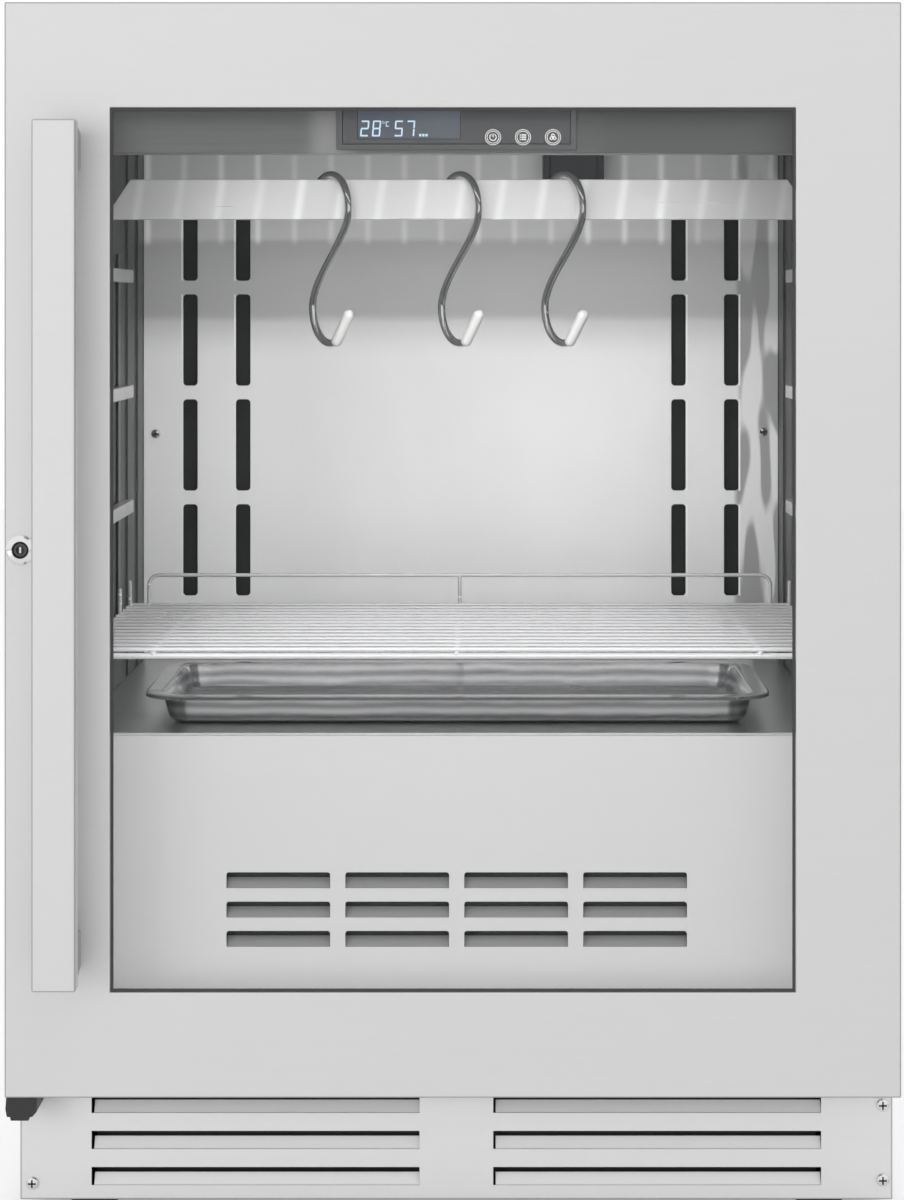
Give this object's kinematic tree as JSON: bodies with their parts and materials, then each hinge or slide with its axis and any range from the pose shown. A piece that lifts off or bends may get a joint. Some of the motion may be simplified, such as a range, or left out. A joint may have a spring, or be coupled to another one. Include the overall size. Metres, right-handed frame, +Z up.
{
  "type": "dry aging cabinet",
  "caption": "Undercounter dry aging cabinet with a glazed steel door, hanging rail with meat hooks, wire shelf, drip tray and slotted plinth.",
  "frame": {"origin": "on the floor, under the middle of the whole object's box", "axes": "+Z up, -Y out through the door, +X towards the hinge side"},
  "size_m": [0.595, 0.57, 0.82],
  "materials": {
    "door_steel": "fine satin stainless steel",
    "brushed_steel": "brushed stainless steel",
    "dark_steel": "dark brushed steel",
    "chrome": "polished",
    "black_plastic": "moulded black",
    "dark_lens": "smoked gloss",
    "display": "lit window",
    "rubber": "black rubber",
    "glass": "clear insulating glass",
    "white_plastic": "white moulded",
    "foam": "rigid foam",
    "aluminium": "mill finish",
    "black_paint": "black paint",
    "copper": "bare copper"
  },
  "bodies": {
    "cabinet": {"hinge_top": "brushed_steel", "hinge_bottom": "brushed_steel", "lock_keeper": "brushed_steel", "outer_cabinet": "door_steel", "front_frame": "brushed_steel", "inner_liner": "brushed_steel", "insulation": "foam", "base_plate": "black_paint", "rear_cover": "door_steel", "machine_bay_cover": "black_paint", "mains_grommet": "rubber", "plinth": "door_steel", "door_rest": "black_plastic", "control_fascia": "dark_steel", "control_housing": "black_plastic", "control_lens": "dark_lens", "display_window": "display", "lamp_strip": "white_plastic", "sensor_housing": "black_plastic", "back_panel": "brushed_steel", "lower_panel": "door_steel", "floor_panel": "brushed_steel", "shelf_support_left": "brushed_steel", "shelf_support_right": "brushed_steel", "hanging_rail": "brushed_steel", "evaporator": "aluminium", "chamber_fan_frame": "black_plastic", "condenser": "aluminium", "machine_fan_frame": "black_plastic", "compressor": "black_paint", "discharge_pipe": "copper", "power_box": "black_plastic"},
    "door": {"door_frame": "door_steel", "inner_door_frame": "black_plastic", "glazing_seal": "rubber", "outer_pane": "glass", "inner_pane": "glass", "pane_spacer": "aluminium", "door_gasket": "rubber", "handle_bar": "door_steel", "handle_standoff_bottom": "door_steel", "handle_standoff_top": "door_steel", "hinge_bush_top": "white_plastic", "hinge_bush_bottom": "white_plastic", "lock_barrel": "chrome"},
    "lock": {"lock_cylinder": "chrome"},
    "shelf": {"wire_shelf": "chrome"},
    "tray": {"drip_tray": "chrome"},
    "hook_a": {"hook_1": "chrome", "hook_tip_1": "white_plastic"},
    "hook_b": {"hook_2": "chrome", "hook_tip_2": "white_plastic"},
    "hook_c": {"hook_3": "chrome", "hook_tip_3": "white_plastic"},
    "chamber_rotor": {"chamber_fan_rotor": "black_plastic"},
    "machine_rotor": {"machine_fan_rotor": "black_plastic"},
    "foot_fl": {"foot_front_left": "black_plastic"},
    "foot_fr": {"foot_front_right": "black_plastic"},
    "foot_bl": {"foot_back_left": "black_plastic"},
    "foot_br": {"foot_back_right": "black_plastic"}
  },
  "joints": [
    {"name": "door_swing", "type": "hinge", "parent": "cabinet", "child": "door", "pos_m": [0.2855, -0.231, 0.4565], "axis": [0, 0, 1], "range_deg": [0, 105]},
    {"name": "lock_turn", "type": "hinge", "parent": "door", "child": "lock", "pos_m": [-0.2868, -0.245, 0.4565], "axis": [0, 1, 0], "range_deg": [0, 90]},
    {"name": "shelf_slide", "type": "slide", "parent": "cabinet", "child": "shelf", "axis": [0, -1, 0], "range_m": [0, 0.025]},
    {"name": "tray_slide", "type": "slide", "parent": "cabinet", "child": "tray", "axis": [0, -1, 0], "range_m": [0, 0.055]},
    {"name": "hook_1_slide", "type": "slide", "parent": "cabinet", "child": "hook_a", "axis": [1, 0, 0], "range_m": [-0.12, 0.055]},
    {"name": "hook_2_slide", "type": "slide", "parent": "cabinet", "child": "hook_b", "axis": [1, 0, 0], "range_m": [-0.055, 0.038]},
    {"name": "hook_3_slide", "type": "slide", "parent": "cabinet", "child": "hook_c", "axis": [1, 0, 0], "range_m": [-0.038, 0.13]},
    {"name": "chamber_fan_spin", "type": "hinge", "parent": "cabinet", "child": "chamber_rotor", "pos_m": [0.002, 0.2384, 0.64], "axis": [0, 1, 0], "continuous": true},
    {"name": "machine_fan_spin", "type": "hinge", "parent": "cabinet", "child": "machine_rotor", "pos_m": [0.152, 0.1527, 0.0751], "axis": [0, 1, 0], "continuous": true},
    {"name": "foot_front_left_turn", "type": "hinge", "parent": "cabinet", "child": "foot_fl", "pos_m": [-0.2485, -0.162, 0], "axis": [0, 0, 1], "range_deg": [-720, 720]},
    {"name": "foot_front_right_turn", "type": "hinge", "parent": "cabinet", "child": "foot_fr", "pos_m": [0.2525, -0.162, 0], "axis": [0, 0, 1], "range_deg": [-720, 720]},
    {"name": "foot_back_left_turn", "type": "hinge", "parent": "cabinet", "child": "foot_bl", "pos_m": [-0.2485, 0.236, 0], "axis": [0, 0, 1], "range_deg": [-720, 720]},
    {"name": "foot_back_right_turn", "type": "hinge", "parent": "cabinet", "child": "foot_br", "pos_m": [0.2525, 0.236, 0], "axis": [0, 0, 1], "range_deg": [-720, 720]}
  ]
}
